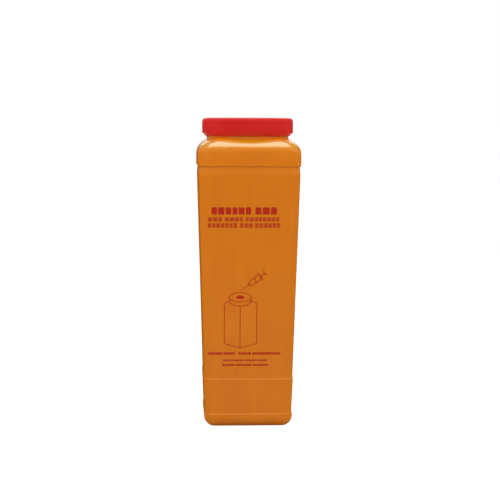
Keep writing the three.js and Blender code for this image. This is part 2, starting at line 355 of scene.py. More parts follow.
def side_half(z):
    """The half width across the flats up the side of the jar."""
    def past_ledge(level):
        return smooth_step((z - level) / LEDGE_RISE + 0.5)

    band_foot = FOOT_HALF - LEDGE
    band_share = (z - FOOT_LEDGE_Z) / (PANEL_LEDGE_Z - FOOT_LEDGE_Z)
    band = band_foot + (LOWER_BAND_TOP_HALF - band_foot) * band_share
    panel_foot = LOWER_BAND_TOP_HALF - LEDGE
    panel_share = (z - PANEL_LEDGE_Z) / (SHOULDER_STEP_Z - PANEL_LEDGE_Z)
    panel = panel_foot + (PANEL_TOP_HALF - panel_foot) * panel_share
    off_crown = (z - SHOULDER_CROWN_Z) / (SHOULDER_CROWN_Z - SHOULDER_STEP_Z)
    shoulder = SHOULDER_HALF - SHOULDER_CROWN * off_crown**2
    half = FOOT_HALF + (band - FOOT_HALF) * past_ledge(FOOT_LEDGE_Z)
    half = half + (panel - half) * past_ledge(PANEL_LEDGE_Z)
    step = smooth_step((z - SHOULDER_STEP_Z) / SHOULDER_STEP_RISE + 0.5)
    dip = STEP_DIP * smooth_step((z - SHOULDER_STEP_Z) / STEP_DIP_RUN + 1)
    return half + (shoulder - half + dip) * step - dip


def parting_line(angles):
    """The raised line that the mould halves leave on the +X and -X sides."""
    off = np.degrees(np.abs((angles + math.pi / 2) % math.pi - math.pi / 2))
    return PARTING_LINE * np.clip(1 - off / PARTING_LINE_ANGLE, 0, 1)


def thread_height(angles, z, start_z, first_turn, turns, height):
    """How far a thread's ridge stands out of its wall at each angle of one level."""
    best = np.zeros_like(angles)
    laps = 4
    for lap in range(laps):
        turn = angles / TAU + lap
        share = (turn - first_turn) / turns
        ends = np.minimum(share, 1 - share) * turns / THREAD_RUN_OUT
        off = np.abs(z - start_z - PITCH * turn)
        flank = (THREAD_BASE / 2 - off) / ((THREAD_BASE - THREAD_CREST) / 2)
        best = np.maximum(best, height * smooth_step(flank) * smooth_step(ends))
    return best


def roll_ring(angles, t, wall):
    """A ring of the rolled shoulder, t radians up its quarter ellipse."""
    across, up = ROLL_IN - wall, ROLL_UP - wall
    centre = side_half(ROLL_START_Z) - ROLL_IN
    closed_in = across * (1 - np.cos(t))
    corner = CORNER - wall + ROLL_CORNER_GROWTH * closed_in
    half = centre + across * np.cos(t)
    return squared_radius(angles, half, corner), ROLL_START_Z + up * np.sin(t)


def roll_up_to(angles, wall, target):
    """How far up the roll each column meets a circle of the target radius, by halving."""
    low = np.zeros_like(angles)
    high = np.full_like(angles, math.pi / 2)
    halvings = 40
    for _ in range(halvings):
        middle = (low + high) / 2
        radius, _height = roll_ring(angles, middle, wall)
        outside = radius > target
        low = np.where(outside, middle, low)
        high = np.where(outside, high, middle)
    return (low + high) / 2


def shoulder_rings(angles, wall, neck_r, steps):
    """From the start of the roll, up over the shoulder and round a small fillet into the neck."""
    stop = roll_up_to(angles, wall, neck_r + NECK_FILLET)
    rings = [roll_ring(angles, stop * share, wall) for share in np.linspace(0, 1, steps)]
    end_r, end_z = rings[-1]
    inner_r, inner_z = roll_ring(angles, roll_up_to(angles, wall, neck_r), wall)
    for share in np.linspace(0, 1, 7)[1:]:
        radius = (1 - share) ** 2 * end_r + 2 * share * (1 - share) * inner_r + share**2 * neck_r
        top_z = inner_z + NECK_FILLET
        height = (1 - share) ** 2 * end_z + 2 * share * (1 - share) * inner_z + share**2 * top_z
        rings.append((radius, height))
    return rings


def base_rings(angles, wall):
    """From the middle of the pushed-up base, over the foot ring and up the fillet."""
    dish = FOOT_RING_INNER - BASE_RISE
    rings = [(0, BASE_RISE + wall)]
    for share in (0.3, 0.6, 0.85, 1):
        radius = squared_radius(angles, dish * share, FOOT_RING_CORNER * share)
        rings.append((radius, BASE_RISE + wall))
    for share in np.linspace(0, 1, 7)[1:]:
        half = dish + (FOOT_RING_INNER - dish) * share
        height = wall + BASE_RISE * (1 - smooth_step(share))
        rings.append((squared_radius(angles, half, FOOT_RING_CORNER), height))
    flat = FOOT_HALF - BASE_FILLET
    fillet = BASE_FILLET - wall
    rings.append((squared_radius(angles, (flat + FOOT_RING_INNER) / 2, FOOT_FLAT_CORNER), wall))
    for angle in np.linspace(0, math.pi / 2, 15):
        out = fillet * math.sin(angle)
        height = BASE_FILLET - fillet * math.cos(angle)
        corner = max(CORNER - BASE_FILLET + out, FOOT_CORNER_MIN)
        rings.append((squared_radius(angles, flat + out, corner), height))
    return rings


def side_levels():
    """The heights of the rings up the side, close together over each ledge and the step."""
    levels = []
    for level, rise in (
        (FOOT_LEDGE_Z, LEDGE_RISE),
        (PANEL_LEDGE_Z, LEDGE_RISE),
        (SHOULDER_STEP_Z, SHOULDER_STEP_RISE),
    ):
        levels.extend(level + rise * off for off in np.linspace(-1.5, 0.75, 19))
    off_ledge = 6
    off_step = 3.5
    dip_start = SHOULDER_STEP_Z - STEP_DIP_RUN
    levels.extend(np.linspace(FOOT_LEDGE_Z + off_ledge, PANEL_LEDGE_Z - off_ledge, 5))
    levels.extend(np.linspace(PANEL_LEDGE_Z + off_ledge + 2, dip_start, 22))
    levels.extend(np.linspace(dip_start, SHOULDER_STEP_Z - off_step, 10)[1:])
    levels.extend(np.linspace(SHOULDER_STEP_Z + off_step, ROLL_START_Z - 1.5, 7))
    return sorted(levels)


def make_jar():
    """The jar in one surface: base, side, shoulder, threaded neck and rim, then down the inside."""
    angles = jar_angles()
    line = parting_line(angles)
    rings = base_rings(angles, 0)
    for z in side_levels():
        rings.append((squared_radius(angles, side_half(z), CORNER) + line, z))
    rings += [(radius + line, z) for radius, z in shoulder_rings(angles, 0, NECK_R, 30)]
    straight_neck_z = 360.2
    for z in np.arange(straight_neck_z, RIM_Z - RIM_ROUND, THREAD_RING_GAP):
        ridge = thread_height(angles, z, NECK_THREAD_Z, 0, NECK_THREAD_TURNS, NECK_THREAD_HEIGHT)
        rings.append((NECK_R + ridge + line * 0.6, z))
    below_rim = RIM_Z - 9
    rim = rounded_profile([
        (NECK_R, below_rim, 0),
        (NECK_R, RIM_Z, RIM_ROUND),
        (BORE_R, RIM_Z, RIM_ROUND),
        (BORE_R, below_rim, 0),
    ], 6)
    rings += rim[1:-1]
    rings += [(BORE_R, z) for z in (370, 365, 361)]
    rings += shoulder_rings(angles, WALL, BORE_R, 16)[::-1]
    for z in np.linspace(ROLL_START_Z - 2, BASE_FILLET + 3, 14):
        rings.append((squared_radius(angles, side_half(z) - WALL, CORNER - WALL), z))
    rings += base_rings(angles, WALL)[::-1]
    return polar_loft("jar", rings, angles)


# ---------- Tamper band, liner and seal ----------


def make_ring(name, corners, count=240):
    """A ring of the (radius, height, rounding) cross-section, round the Z axis."""
    return polar_loft(name, rounded_profile(corners), even_angles(count), closed=True)


def make_band():
    return make_ring("tamper_ring", [
        (BAND_INNER_R, BAND_LOW.z, 0.12),
        (BAND_FOOT_R, BAND_LOW.z, 0.2),
        (BAND_HIGH.x, BAND_EDGE_Z, 0.2),
        (BAND_HIGH.x, BAND_HIGH.z, 0.12),
        (BAND_INNER_R, BAND_HIGH.z, 0.15),
    ])


def make_liner():
    return make_ring("foam_liner", [
        (LINER_INNER_R, LINER_LOW.z, 0.25),
        (LINER_HIGH.x, LINER_LOW.z, 0.25),
        (LINER_HIGH.x, LINER_HIGH.z, 0.25),
        (LINER_INNER_R, LINER_HIGH.z, 0.25),
    ])


def make_seal():
    return make_ring("ring_seal", [
        (SEAL_INNER_R, SEAL_LOW.z, 0.4),
        (SEAL_HIGH.x, SEAL_LOW.z, 0.4),
        (SEAL_HIGH.x, SEAL_HIGH.z, 0.2),
        (SEAL_INNER_R, SEAL_HIGH.z, 0.2),
    ])


# ---------- Cap ----------


def notch_depth(angles):
    """How much further out than the round aperture its edge runs, in the two tapering notches."""
    off = np.abs((angles + math.pi / 2) % math.pi - math.pi / 2)
    radii = np.linspace(APERTURE_R, NOTCH_END, 200)
    end_centre = NOTCH_END - NOTCH_HALF_NARROW
    start = APERTURE_R - 2
    share = np.clip((radii - start) / (end_centre - start), 0, 1)
    half = NOTCH_HALF_WIDE + (NOTCH_HALF_NARROW - NOTCH_HALF_WIDE) * share
    tip = np.sqrt(np.maximum(NOTCH_HALF_NARROW**2 - np.maximum(radii - end_centre, 0) ** 2, 0))
    half = np.minimum(half, np.where(radii > end_centre, tip, half))
    reach = np.arctan2(half, radii)
    return np.array([radii[reach >= value].max(initial=APERTURE_R) for value in off]) - APERTURE_R


def cap_angles():
    """Even columns, with more of them across the two notches."""
    even = np.arange(0, 360, 1.25)
    fine = [side + off for side in (0, 180) for off in np.arange(-10, 10.01, 0.25)]
    return np.radians(np.unique(np.round(np.concatenate([even, np.array(fine) % 360]), 4)))


def cap_rings(angles):
    """The cap's cross-section as rings, with the aperture's notches and the thread in its skirt."""
    notch = notch_depth(angles)
    profile = rounded_profile([
        (APERTURE_R, DECK_UNDER_Z, 0.3),
        (PLUG_R - PLUG_WALL, DECK_UNDER_Z, 0.5),
        (PLUG_R - PLUG_WALL, PLUG_END_Z, 0.25),
        (PLUG_R, PLUG_END_Z, 0.5),
        (PLUG_R, CAP_CEILING_Z, 0.4),
        (CAP_ROOT_R, CAP_CEILING_Z, 0.4),
        (CAP_ROOT_R, CAP_BOTTOM_Z, 0.3),
        (CAP_R - CAP_BEVEL_IN, CAP_BOTTOM_Z, 0.4),
        (CAP_R, CAP_BOTTOM_Z + CAP_BEVEL_RISE, 1.2),
        (CAP_R, CAP_TOP_Z, CAP_ROUND),
        (RECESS_R, CAP_TOP_Z, 0.7),
        (RECESS_R, DECK_TOP_Z, 0.6),
        (COLLAR_OUTER_R, DECK_TOP_Z, 0.4),
        (COLLAR_OUTER_R, COLLAR_TOP_Z, 0.35),
        (COLLAR_INNER_R, COLLAR_TOP_Z, 0.35),
        (COLLAR_INNER_R, DECK_TOP_Z, 0.3),
        (APERTURE_R, DECK_TOP_Z, 0.3),
    ], 5)
    wide_gap = 3
    rings = []
    for (radius, z), (next_radius, next_z) in zip(profile, profile[1:] + profile[:1]):
        rings.append((radius, z))
        length = math.hypot(next_radius - radius, next_z - z)
        threaded = radius == next_radius and on_skirt_wall(radius)
        extra = int(length / (THREAD_RING_GAP if threaded else wide_gap))
        for i in range(1, extra):
            share = i / extra
            rings.append((radius + (next_radius - radius) * share, z + (next_z - z) * share))
    notches_end = COLLAR_INNER_R - 0.6
    start_z = NECK_THREAD_Z - CAP_THREAD_DROP
    shaped = []
    for radius, z in rings:
        share = np.clip((notches_end - radius) / (notches_end - APERTURE_R), 0, 1)
        radii = radius + notch * share
        if on_skirt_wall(radius):
            radii = radii - thread_height(
                angles, z, start_z, CAP_THREAD_START, CAP_THREAD_TURNS, CAP_THREAD_HEIGHT
            )
        shaped.append((radii, z))
    return shaped


def on_skirt_wall(radius):
    """Whether a radius is that of the inside of the cap's skirt, at the root of its thread."""
    return abs(radius - CAP_ROOT_R) < 1e-6


def along_x(u, v, w):
    """Places an outline in a plane across the hinge's axis, and extrudes it along the axis."""
    return (w, u, v)


def upright(u, v, w):
    """Places an outline in plan, and extrudes it upwards."""
    return (u, v, w)


def lug(name, from_x, to_x, foot_z):
    """A hinge lug: a round top on the hinge's axis and straight sides down to foot_z."""
    outline = [(HINGE_Y - KNUCKLE_R, foot_z), (HINGE_Y + KNUCKLE_R, foot_z)]
    outline += [about_hinge(KNUCKLE_R, angle) for angle in np.linspace(0, math.pi, 25)]
    return prism(name, outline, from_x, to_x, along_x, bevel=0.25)


def hinge_bore(name, half_length):
    """A cutter for the pin's hole, as wide as the pin and its gap."""
    outline = [about_hinge(PIN_R + PIN_GAP, angle) for angle in even_angles(32)]
    return prism(name, outline, -half_length, half_length, along_x)


def make_cap():
    """The cap with its two hinge lugs, bored for the pin."""
    angles = cap_angles()
    cap = polar_loft("cap", cap_rings(angles), angles, closed=True)
    foot_z = (DECK_TOP_Z + DECK_UNDER_Z) / 2
    lugs = [
        lug("lug_right", LUG_START, LUG_END, foot_z),
        lug("lug_left", -LUG_END, -LUG_START, foot_z),
    ]
    combine(cap, lugs, "UNION")
    return combine(cap, [hinge_bore("bore", LUG_END + 1)], "DIFFERENCE")


# ---------- Flap ----------


def arc(centre_x, centre_y, radius, start, stop, steps):
    """Points on an arc between two angles in degrees."""
    return [
        (centre_x + radius * math.cos(angle), centre_y + radius * math.sin(angle))
        for angle in np.radians(np.linspace(start, stop, steps))
    ]


def flap_outline():
    """The plan of the flap: a disc with a finger tab at the front and a hinge arm at the back."""
    tab_end = FLAP_LOW.y
    tab_root = math.degrees(math.acos(TAB_HALF / FLAP_R))
    arm_root = math.degrees(math.acos(FLAP_KNUCKLE_HALF / FLAP_R))
    points = arc(0, 0, FLAP_R, -tab_root, arm_root, 90)
    points += [(FLAP_KNUCKLE_HALF, HINGE_Y), (-FLAP_KNUCKLE_HALF, HINGE_Y)]
    points += arc(0, 0, FLAP_R, 180 - arm_root, 180 + tab_root, 90)
    points += arc(TAB_ROUND - TAB_HALF, tab_end + TAB_ROUND, TAB_ROUND, 180, 270, 10)
    points += arc(TAB_HALF - TAB_ROUND, tab_end + TAB_ROUND, TAB_ROUND, 270, 360, 10)
    return points


def make_flap():
    """The flap's disc with its plug ring, hinge barrel and groove for the seal."""
    plug_root_z = FLAP_UNDER_Z + 1
    groove_open_z = FLAP_UNDER_Z - 1
    groove_inner_r = SEAL_HIGH.x - SEAL_WIDTH - PIN_GAP
    groove_outer_r = SEAL_HIGH.x + PIN_GAP
    flap = prism("flap", flap_outline(), FLAP_UNDER_Z, FLAP_TOP_Z, upright, bevel=0.45)
    plug = make_ring("plug", [
        (FLAP_PLUG_R - FLAP_PLUG_WALL, FLAP_LOW.z, 0.3),
        (FLAP_PLUG_R, FLAP_LOW.z, 0.5),
        (FLAP_PLUG_R, plug_root_z, 0),
        (FLAP_PLUG_R - FLAP_PLUG_WALL, plug_root_z, 0),
    ])
    sides = 48
    outline = arc(HINGE_Y, HINGE_Z, KNUCKLE_R, 0, 360 - 360 / sides, sides)
    barrel = prism("barrel", outline, -FLAP_KNUCKLE_HALF, FLAP_KNUCKLE_HALF, along_x, bevel=0.25)
    groove = make_ring("groove", [
        (groove_inner_r, groove_open_z, 0),
        (groove_outer_r, groove_open_z, 0),
        (groove_outer_r, SEAL_HIGH.z + PIN_GAP, 0.2),
        (groove_inner_r, SEAL_HIGH.z + PIN_GAP, 0.2),
    ])
    combine(flap, [plug, barrel], "UNION")
    return combine(flap, [groove, hinge_bore("bore", FLAP_KNUCKLE_HALF + 1)], "DIFFERENCE")


def make_pin():
    """The hinge pin, with a domed head at its +X end and a rounded nose at the other."""
    head_x = LUG_END + PIN_GAP
    head_r = PIN_HIGH.y - HINGE_Y
    nose = 0.35
    rim = 0.1
    quarter = np.linspace(0, math.pi / 2, 7)
    profile = [(0, PIN_LOW.x)]
    profile += [
        (PIN_R - nose * (1 - math.sin(a)), PIN_LOW.x + nose * (1 - math.cos(a))) for a in quarter
    ]
    profile += [(PIN_R, head_x), (head_r - rim, head_x)]
    dome = PIN_HIGH.x - head_x - rim
    profile += [(head_r * math.cos(a), head_x + rim + dome * math.sin(a)) for a in quarter[:-1]]
    profile += [(0, PIN_HIGH.x)]
    return turned_about_x("hinge_pin", profile)


# ------ Screen print: plain blocks for the wording, and a drawing of a syringe over a box ------

INK_SUNK = 0.03
INK_HEIGHT = 0.06
INK_BAR_ROUND = 0.14
INK_SLICE = 0.8


def on_front(u, v, w):
    """A point of the print: u to the right, v up, w out of the front face or its rounded corners."""
    half = side_half(v)
    past_flat = max(abs(u) - (half - CORNER), 0)
    return (u, CORNER - half - math.sqrt(CORNER**2 - past_flat**2) - w, v)


def ink_strip(name, edges, closed=False):
    """A strip of ink between pairs of points on its two edges."""
    points = []
    for left, right in edges:
        points += [on_front(*left, INK_HEIGHT), on_front(*right, INK_HEIGHT)]
        points += [on_front(*right, -INK_SUNK), on_front(*left, -INK_SUNK)]
    count = len(edges)
    faces = []
    for i in range(count if closed else count - 1):
        a, b = 4 * i, 4 * ((i + 1) % count)
        faces += [(a + k, a + (k + 1) % 4, b + (k + 1) % 4, b + k) for k in range(4)]
    if not closed:
        last = 4 * (count - 1)
        faces += [(3, 2, 1, 0), (last, last + 1, last + 2, last + 3)]
    piece = mesh_object(name, points, faces)
    grid = bmesh.new()
    grid.from_mesh(piece.data)
    bmesh.ops.recalc_face_normals(grid, faces=grid.faces)
    grid.to_mesh(piece.data)
    grid.free()
    smooth(piece)
    return piece


def ink_bar(name, left, right, low, high):
    """A bar with rounded corners, in upright slices so that it follows the curve of the face."""
    r = INK_BAR_ROUND * (high - low)
    quarter = np.linspace(0, math.pi / 2, 5)
    end = [(r * (1 - math.cos(turn)), r * (1 - math.sin(turn))) for turn in quarter]
    slices = [(left + along, inset) for along, inset in end]
    flat = right - left - 2 * r
    cuts = max(int(flat / INK_SLICE), 1)
    slices += [(left + r + flat * i / cuts, 0) for i in range(1, cuts)]
    slices += [(right - along, inset) for along, inset in end[::-1]]
    return ink_strip(name, [((x, high - inset), (x, low + inset)) for x, inset in slices])


def ink_line(name, points, width, closed=False):
    """A drawn line of even width through the points, mitred at its corners."""
    points = [np.array(point, float) for point in points]
    count = len(points)
    edges = []
    for i, point in enumerate(points):
        before = points[i - 1] if closed or i > 0 else None
        after = points[(i + 1) % count] if closed or i < count - 1 else None
        ways = []
        if before is not None:
            ways.append((point - before) / np.linalg.norm(point - before))
        if after is not None:
            ways.append((after - point) / np.linalg.norm(after - point))
        along = sum(ways) / np.linalg.norm(sum(ways))
        across = np.array((-along[1], along[0]))
        reach = width / 2 / max(across @ np.array((-ways[0][1], ways[0][0])), 0.5)
        edges.append((point + across * reach, point - across * reach))
    return ink_strip(name, edges, closed)


def joined(name, pieces):
    """Several pieces as one object."""
    grid = bmesh.new()
    for piece in pieces:
        grid.from_mesh(piece.data)
        bpy.data.objects.remove(piece)
    mesh = bpy.data.meshes.new(name)
    grid.to_mesh(mesh)
    grid.free()
    whole = bpy.data.objects.new(name, mesh)
    bpy.context.scene.collection.objects.link(whole)
    smooth(whole)
    return whole


# A line of print: its heights, its words' spans, its blocks' widths in turn, and the gap between them
HEADING = [((264.4, 273.3), [(-46.6, 1.6), (7, 33.2)], (7, 8.4, 7.2, 6.4, 7.8), 1.5)]
SUBLINES = [
    ((255.9, 261.2), [(-51.1, -33.6), (-30.5, -8.4), (-5.3, 36.2)], (4.6, 5.2, 4.4, 3.8), 1.1),
    ((248.2, 253.9), [(-51.1, -15.2), (-12, 3.7), (6.4, 37.4)], (4.8, 4.2, 5.2, 4), 1.1),
]
NOTES = [
    (
        (91, 94.3), [(-50.3, -33), (-31.2, -17.6), (-12.6, 2.2), (4.4, 38.7)],
        (2.2, 2.8, 2.4, 1.8, 3), 0.6,
    ),
    ((82.9, 85.3), [(-31.6, -24), (-22.6, -7), (-5.4, 8.6), (10, 22.3)], (2.4, 1.8, 2.6, 2), 0.55),
    ((76.9, 79.6), [(-32.5, -18), (-16, 3), (5, 24)], (2.6, 2, 2.4, 1.8, 2.2), 0.55),
]


def make_blocks(name, lines):
    """Rows of plain rounded blocks, a run of them in each span, in place of wording."""
    pieces = []
    for (low, high), spans, widths, gap in lines:
        for left, right in spans:
            run, total = [], 0.0
            while total < right - left:
                run.append(widths[len(run) % len(widths)])
                total += run[-1] + gap
            scale = (right - left + gap) / total
            at = left
            for width in run:
                following = at + (width + gap) * scale
                pieces.append(ink_bar(f"{name}_{len(pieces)}", at, following - gap, low, high))
                at = following
    return joined(name, pieces)


BOX_LEFT, BOX_EDGE, BOX_RIGHT = -30.4, -11, 9.4
BOX_TOP_Z, BOX_FOOT_Z, BOX_DROP = 155.6, 105, 5.2
LID_Z, LID_R, LID_FLAT, LID_DEEP = 162.6, 13.4, 0.42, 5.4
HOLE_R = 5.2
LINE = 1.15
SYRINGE_TIP = (-11.6, 170)
SYRINGE_ANGLE = math.radians(36)


def ellipse(centre_x, centre_z, radius, start=0, stop=360, steps=48):
    """Points on a circle of the lid as the drawing shows it, or on a part of it."""
    return [
        (centre_x + radius * math.cos(a), centre_z + LID_FLAT * radius * math.sin(a))
        for a in np.radians(np.linspace(start, stop, steps, endpoint=stop - start < 360))
    ]


def make_box_drawing():
    """A square box seen on its edge, with a round lid and a dark hole in the lid."""
    side_r = LID_R - 0.6
    collar_z = LID_Z - LID_DEEP
    foot = [(BOX_LEFT, BOX_FOOT_Z), (BOX_EDGE, BOX_FOOT_Z - BOX_DROP), (BOX_RIGHT, BOX_FOOT_Z)]
    lid_side = [
        (BOX_EDGE - LID_R, LID_Z),
        *ellipse(BOX_EDGE, collar_z, side_r, 180, 360, 25),
        (BOX_EDGE + LID_R, LID_Z),
    ]
    outline = [
        (BOX_EDGE - side_r, collar_z + 0.5),
        (BOX_LEFT, BOX_TOP_Z),
        *foot,
        (BOX_RIGHT, BOX_TOP_Z),
        (BOX_EDGE + side_r, collar_z + 0.5),
    ]
    pieces = [
        ink_line("lid", ellipse(BOX_EDGE, LID_Z, LID_R), LINE, closed=True),
        ink_line("lid_side", lid_side, LINE),
        ink_line("box_outline", outline, LINE),
        ink_line("box_edge", [(BOX_EDGE, collar_z - LID_FLAT * side_r - 0.3), foot[1]], LINE),
    ]
    return joined("print_box", pieces)


def make_syringe_drawing():
    """A syringe held over the box, its needle pointing at the hole."""
    cos, sin = math.cos(SYRINGE_ANGLE), math.sin(SYRINGE_ANGLE)
    tip_x, tip_z = SYRINGE_TIP

    def at(along, across):
        return (tip_x + along * cos - across * sin, tip_z + along * sin + across * cos)

    needle, hub, shoulder, plunger, barrel, rod = 12, 15, 17, 23.5, 31, 38
    flange = barrel + 0.4
    neck_half, barrel_half = 1.6, 3.1
    outline = [
        at(hub, neck_half), at(shoulder, barrel_half), at(barrel, barrel_half),
        at(barrel, -barrel_half), at(shoulder, -barrel_half), at(hub, -neck_half),
    ]
    pieces = [
        ink_line("needle", [at(0, 0), at(needle, 0)], 0.9),
        ink_line("hub", [at(needle, 0), at(hub, 0)], 2.2),
        ink_line("barrel", outline, LINE, closed=True),
        ink_line("flange", [at(flange, -5), at(flange, 5)], LINE),
        ink_line("rod", [at(barrel, 0), at(rod, 0)], 1.4),
        ink_line("thumb", [at(rod, -3.4), at(rod, 3.4)], LINE * 1.2),
        ink_line("plunger", [at(plunger, -2.6), at(plunger, 2.6)], 1.6),
    ]
    return joined("print_syringe", pieces)


def make_hole_drawing():
    """The filled hole in the drawn box's lid."""
    return prism("print_hole", ellipse(BOX_EDGE, LID_Z, HOLE_R), -INK_SUNK, INK_HEIGHT, on_front)


# ---------- Materials ----------


class Shader:
    """A material's node tree, with short calls for adding nodes and joining them."""

    def __init__(self, name):
        self.material = bpy.data.materials.new(name)
        self.material.use_nodes = True
        self.tree = self.material.node_tree
        self.bsdf = next(node for node in self.tree.nodes if node.type == "BSDF_PRINCIPLED")
        self.place = self.add("ShaderNodeTexCoord").outputs["Object"]

    def add(self, kind, settings=None, **inputs):
        """Adds a node; an input's spaces are written as underscores."""
        node = self.tree.nodes.new(kind)
        for key, value in (settings or {}).items():
            setattr(node, key, value)
        for key, value in inputs.items():
            self.feed(node, key.replace("_", " "), value)
        return node

    def feed(self, node, key, value):
        if isinstance(value, bpy.types.NodeSocket):
            self.tree.links.new(value, node.inputs[key])
        else:
            node.inputs[key].default_value = value

    def noise(self, scale, stretch=(1, 1, 1), detail=3.0, roughness=0.55):
        """Fractal noise with `scale` features to the metre, from 0 to 1."""
        scales = [scale * along for along in stretch]
        placed = self.add("ShaderNodeMapping", Vector=self.place, Scale=scales).outputs[0]
        return self.add(
            "ShaderNodeTexNoise", Vector=placed, Scale=1.0, Detail=detail, Roughness=roughness
        ).outputs["Fac"]

    def spread(self, value, low, high, to_low=0.0, to_high=1.0):
        """The value's run from low to high, spread over the run from to_low to to_high."""
        return self.add(
            "ShaderNodeMapRange", Value=value,
            From_Min=low, From_Max=high, To_Min=to_low, To_Max=to_high,
        ).outputs[0]

    def math(self, operation, a, b):
        node = self.add("ShaderNodeMath", {"operation": operation})
        self.feed(node, 0, a)
        self.feed(node, 1, b)
        return node.outputs[0]

    def mix(self, share, a, b):
        node = self.add("ShaderNodeMix", {"data_type": "RGBA"})
        self.feed(node, 0, share)
        self.feed(node, 6, a)
        self.feed(node, 7, b)
        return node.outputs[2]

    def height(self):
        """The height above the floor at rest, in metres."""
        return self.add("ShaderNodeSeparateXYZ", Vector=self.place).outputs["Z"]

    def attribute(self, name):
        return self.add("ShaderNodeAttribute", {"attribute_name": name}).outputs["Fac"]

    def bump(self, height, distance, strength=1.0, normal=None):
        node = self.add("ShaderNodeBump", Height=height, Distance=distance, Strength=strength)
        if normal is not None:
            self.feed(node, "Normal", normal)
        return node.outputs[0]

    def finish(self, **inputs):
        for key, value in inputs.items():
            self.feed(self.bsdf, key.replace("_", " "), value)
        return self.material


def linear(red, green, blue):
    """An sRGB colour, 0 to 255, as the linear colour that shaders use."""
    def channel(value):
        value /= 255
        return value / 12.92 if value <= 0.04045 else ((value + 0.055) / 1.055) ** 2.4
    return (channel(red), channel(green), channel(blue), 1.0)


# Heights in metres where the shoulder's painted highlight tint sets in and ends, and where the cap's
# painted bounce light ends
HIGHLIGHT_TINT_START = (0.342, 0.349)
HIGHLIGHT_TINT_END = (0.353, 0.356)
BOUNCE_PAINT_END = (0.3637, 0.3644)


def jar_material():
    """Satin blow-moulded polyethylene: mottled, with upright flow streaks, grain and rubbed edges.

    The shoulder's roll is painted a yellower amber, a painted highlight tint where the overhead light
    glints on it.
    The roughness stays under 0.27, because rougher gloss speckles under lamps that have a reflection
    but no fill.
    """
    s = Shader("jar_hdpe")
    mottle = s.noise(16, detail=4)
    streaks = s.noise(70, stretch=(1, 1, 0.06), detail=2)
    grain = s.noise(900, detail=2)
    peel = s.noise(260, detail=2)
    tone = s.math("ADD", s.math("MULTIPLY", mottle, 0.6), s.math("MULTIPLY", streaks, 0.4))
    colour = s.mix(s.spread(tone, 0.3, 0.7), linear(224, 122, 0), linear(235, 131, 2))
    # Painted highlight: between these heights the shoulder's roll is tinted a yellower amber, where
    # the overhead light glints.
    set_in = s.spread(s.height(), *HIGHLIGHT_TINT_START)
    not_ended = s.spread(s.height(), *HIGHLIGHT_TINT_END, 1.0, 0.0)
    colour = s.mix(s.math("MULTIPLY", set_in, not_ended), colour, linear(217, 149, 20))
    wear = s.math("MULTIPLY", s.attribute("wear"), s.spread(s.noise(120, detail=5), 0.45, 0.7))
    colour = s.mix(s.math("MULTIPLY", wear, 0.35), colour, linear(240, 172, 80))
    roughness = s.math("ADD", s.spread(peel, 0.3, 0.7, 0.23, 0.26), s.math("MULTIPLY", wear, 0.01))
    normal = s.bump(mottle, 0.0005)
    normal = s.bump(peel, 0.000008, normal=normal)
    normal = s.bump(grain, 0.00001, normal=normal)
    return s.finish(
        Base_Color=colour, Roughness=roughness, Normal=normal, IOR=1.54, Specular_IOR_Level=0.9,
        Subsurface_Weight=0.08, Subsurface_Radius=(0.004, 0.0015, 0.0004), Subsurface_Scale=1.0,
    )


def red_material(name, dark, light, painted_bounce=None):
    """Semi-gloss injection-moulded polypropylene with fine flow marks and hairline scratches.

    The last colour, when given, is a brighter red painted on the cap's downward-facing lower edge, as
    painted bounce light from below.
    """
    s = Shader(name)
    cloud = s.noise(30, detail=4)
    grain = s.noise(1100, detail=2)
    scratches = s.noise(420, stretch=(1, 1, 0.05), detail=3)
    colour = s.mix(s.spread(cloud, 0.3, 0.7), dark, light)
    # Painted bounce light: below this height the cap's lower edge is painted a brighter red.
    if painted_bounce:
        colour = s.mix(s.spread(s.height(), *BOUNCE_PAINT_END, 0.9, 0.0), colour, painted_bounce)
    wear = s.math("MULTIPLY", s.attribute("wear"), s.spread(s.noise(160, detail=5), 0.5, 0.75))
    colour = s.mix(s.math("MULTIPLY", wear, 0.3), colour, linear(226, 96, 84))
    scratched = s.spread(scratches, 0.35, 0.7, 0.44, 0.54)
    roughness = s.math("ADD", scratched, s.math("MULTIPLY", wear, 0.15))
    normal = s.bump(cloud, 0.0001)
    normal = s.bump(scratches, 0.000012, normal=normal)
    normal = s.bump(grain, 0.000012, normal=normal)
    return s.finish(
        Base_Color=colour, Roughness=roughness, Normal=normal, IOR=1.48, Specular_IOR_Level=0.25
    )


def ink_material(name, dark, light):
    """Screen ink with a slightly patchy lay-down over the grain of the plastic."""
    s = Shader(name)
    patch = s.noise(700, detail=4)
    colour = s.mix(s.spread(patch, 0.35, 0.7), dark, light)
    roughness = s.spread(patch, 0.3, 0.7, 0.38, 0.5)
    normal = s.bump(s.noise(1500, detail=2), 0.00001)
    return s.finish(Base_Color=colour, Roughness=roughness, Normal=normal, Specular_IOR_Level=0.3)


def foam_material():
    """White closed-cell foam."""
    s = Shader("liner_foam")
    cells = s.add("ShaderNodeTexVoronoi", Vector=s.place, Scale=1400.0).outputs["Distance"]
    cloud = s.noise(60)
    colour = s.mix(s.spread(cloud, 0.3, 0.7), linear(226, 224, 214), linear(240, 238, 232))
    roughness = s.spread(cloud, 0.3, 0.7, 0.8, 0.92)
    normal = s.bump(cells, 0.00012)
    return s.finish(Base_Color=colour, Roughness=roughness, Normal=normal, Sheen_Weight=0.1)


def pin_material():
    """Natural acetal, turned smooth."""
    s = Shader("pin_plastic")
    rings = s.noise(2500, stretch=(1, 0.05, 0.05), detail=2)
    cloud = s.noise(200)
    colour = s.mix(s.spread(cloud, 0.3, 0.7), linear(214, 212, 203), linear(228, 226, 218))
    roughness = s.spread(rings, 0.3, 0.7, 0.3, 0.42)
    return s.finish(Base_Color=colour, Roughness=roughness, Normal=s.bump(rings, 0.00001))


